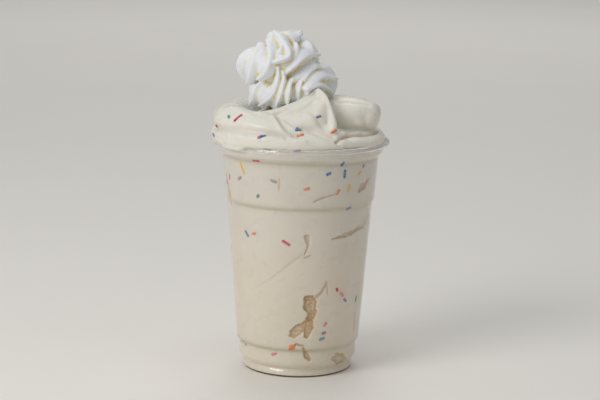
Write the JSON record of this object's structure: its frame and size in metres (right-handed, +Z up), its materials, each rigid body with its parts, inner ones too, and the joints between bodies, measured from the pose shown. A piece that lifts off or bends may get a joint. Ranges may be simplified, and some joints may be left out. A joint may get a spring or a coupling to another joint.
{
  "type": "milkshake",
  "caption": "Thick milkshake with coloured sprinkles in a clear stepped plastic cup, heaped over the rim and topped with a piped swirl of whipped cream.",
  "frame": {"origin": "centre of the foot ring's underside, on the surface that the cup stands on", "axes": "+Z up along the cup's axis, -Y to the front, +X to the right of someone facing the front"},
  "size_m": [0.098, 0.098, 0.1887],
  "materials": {
    "clear_plastic": "clear, smooth and glossy",
    "milkshake": "ivory, moist, softly glossy, with small coloured rods of sugar",
    "whipped_cream": "white, soft satin"
  },
  "bodies": {
    "root": {"cup": "clear_plastic", "shake": "milkshake", "whipped_cream": "whipped_cream"}
  },
  "joints": []
}
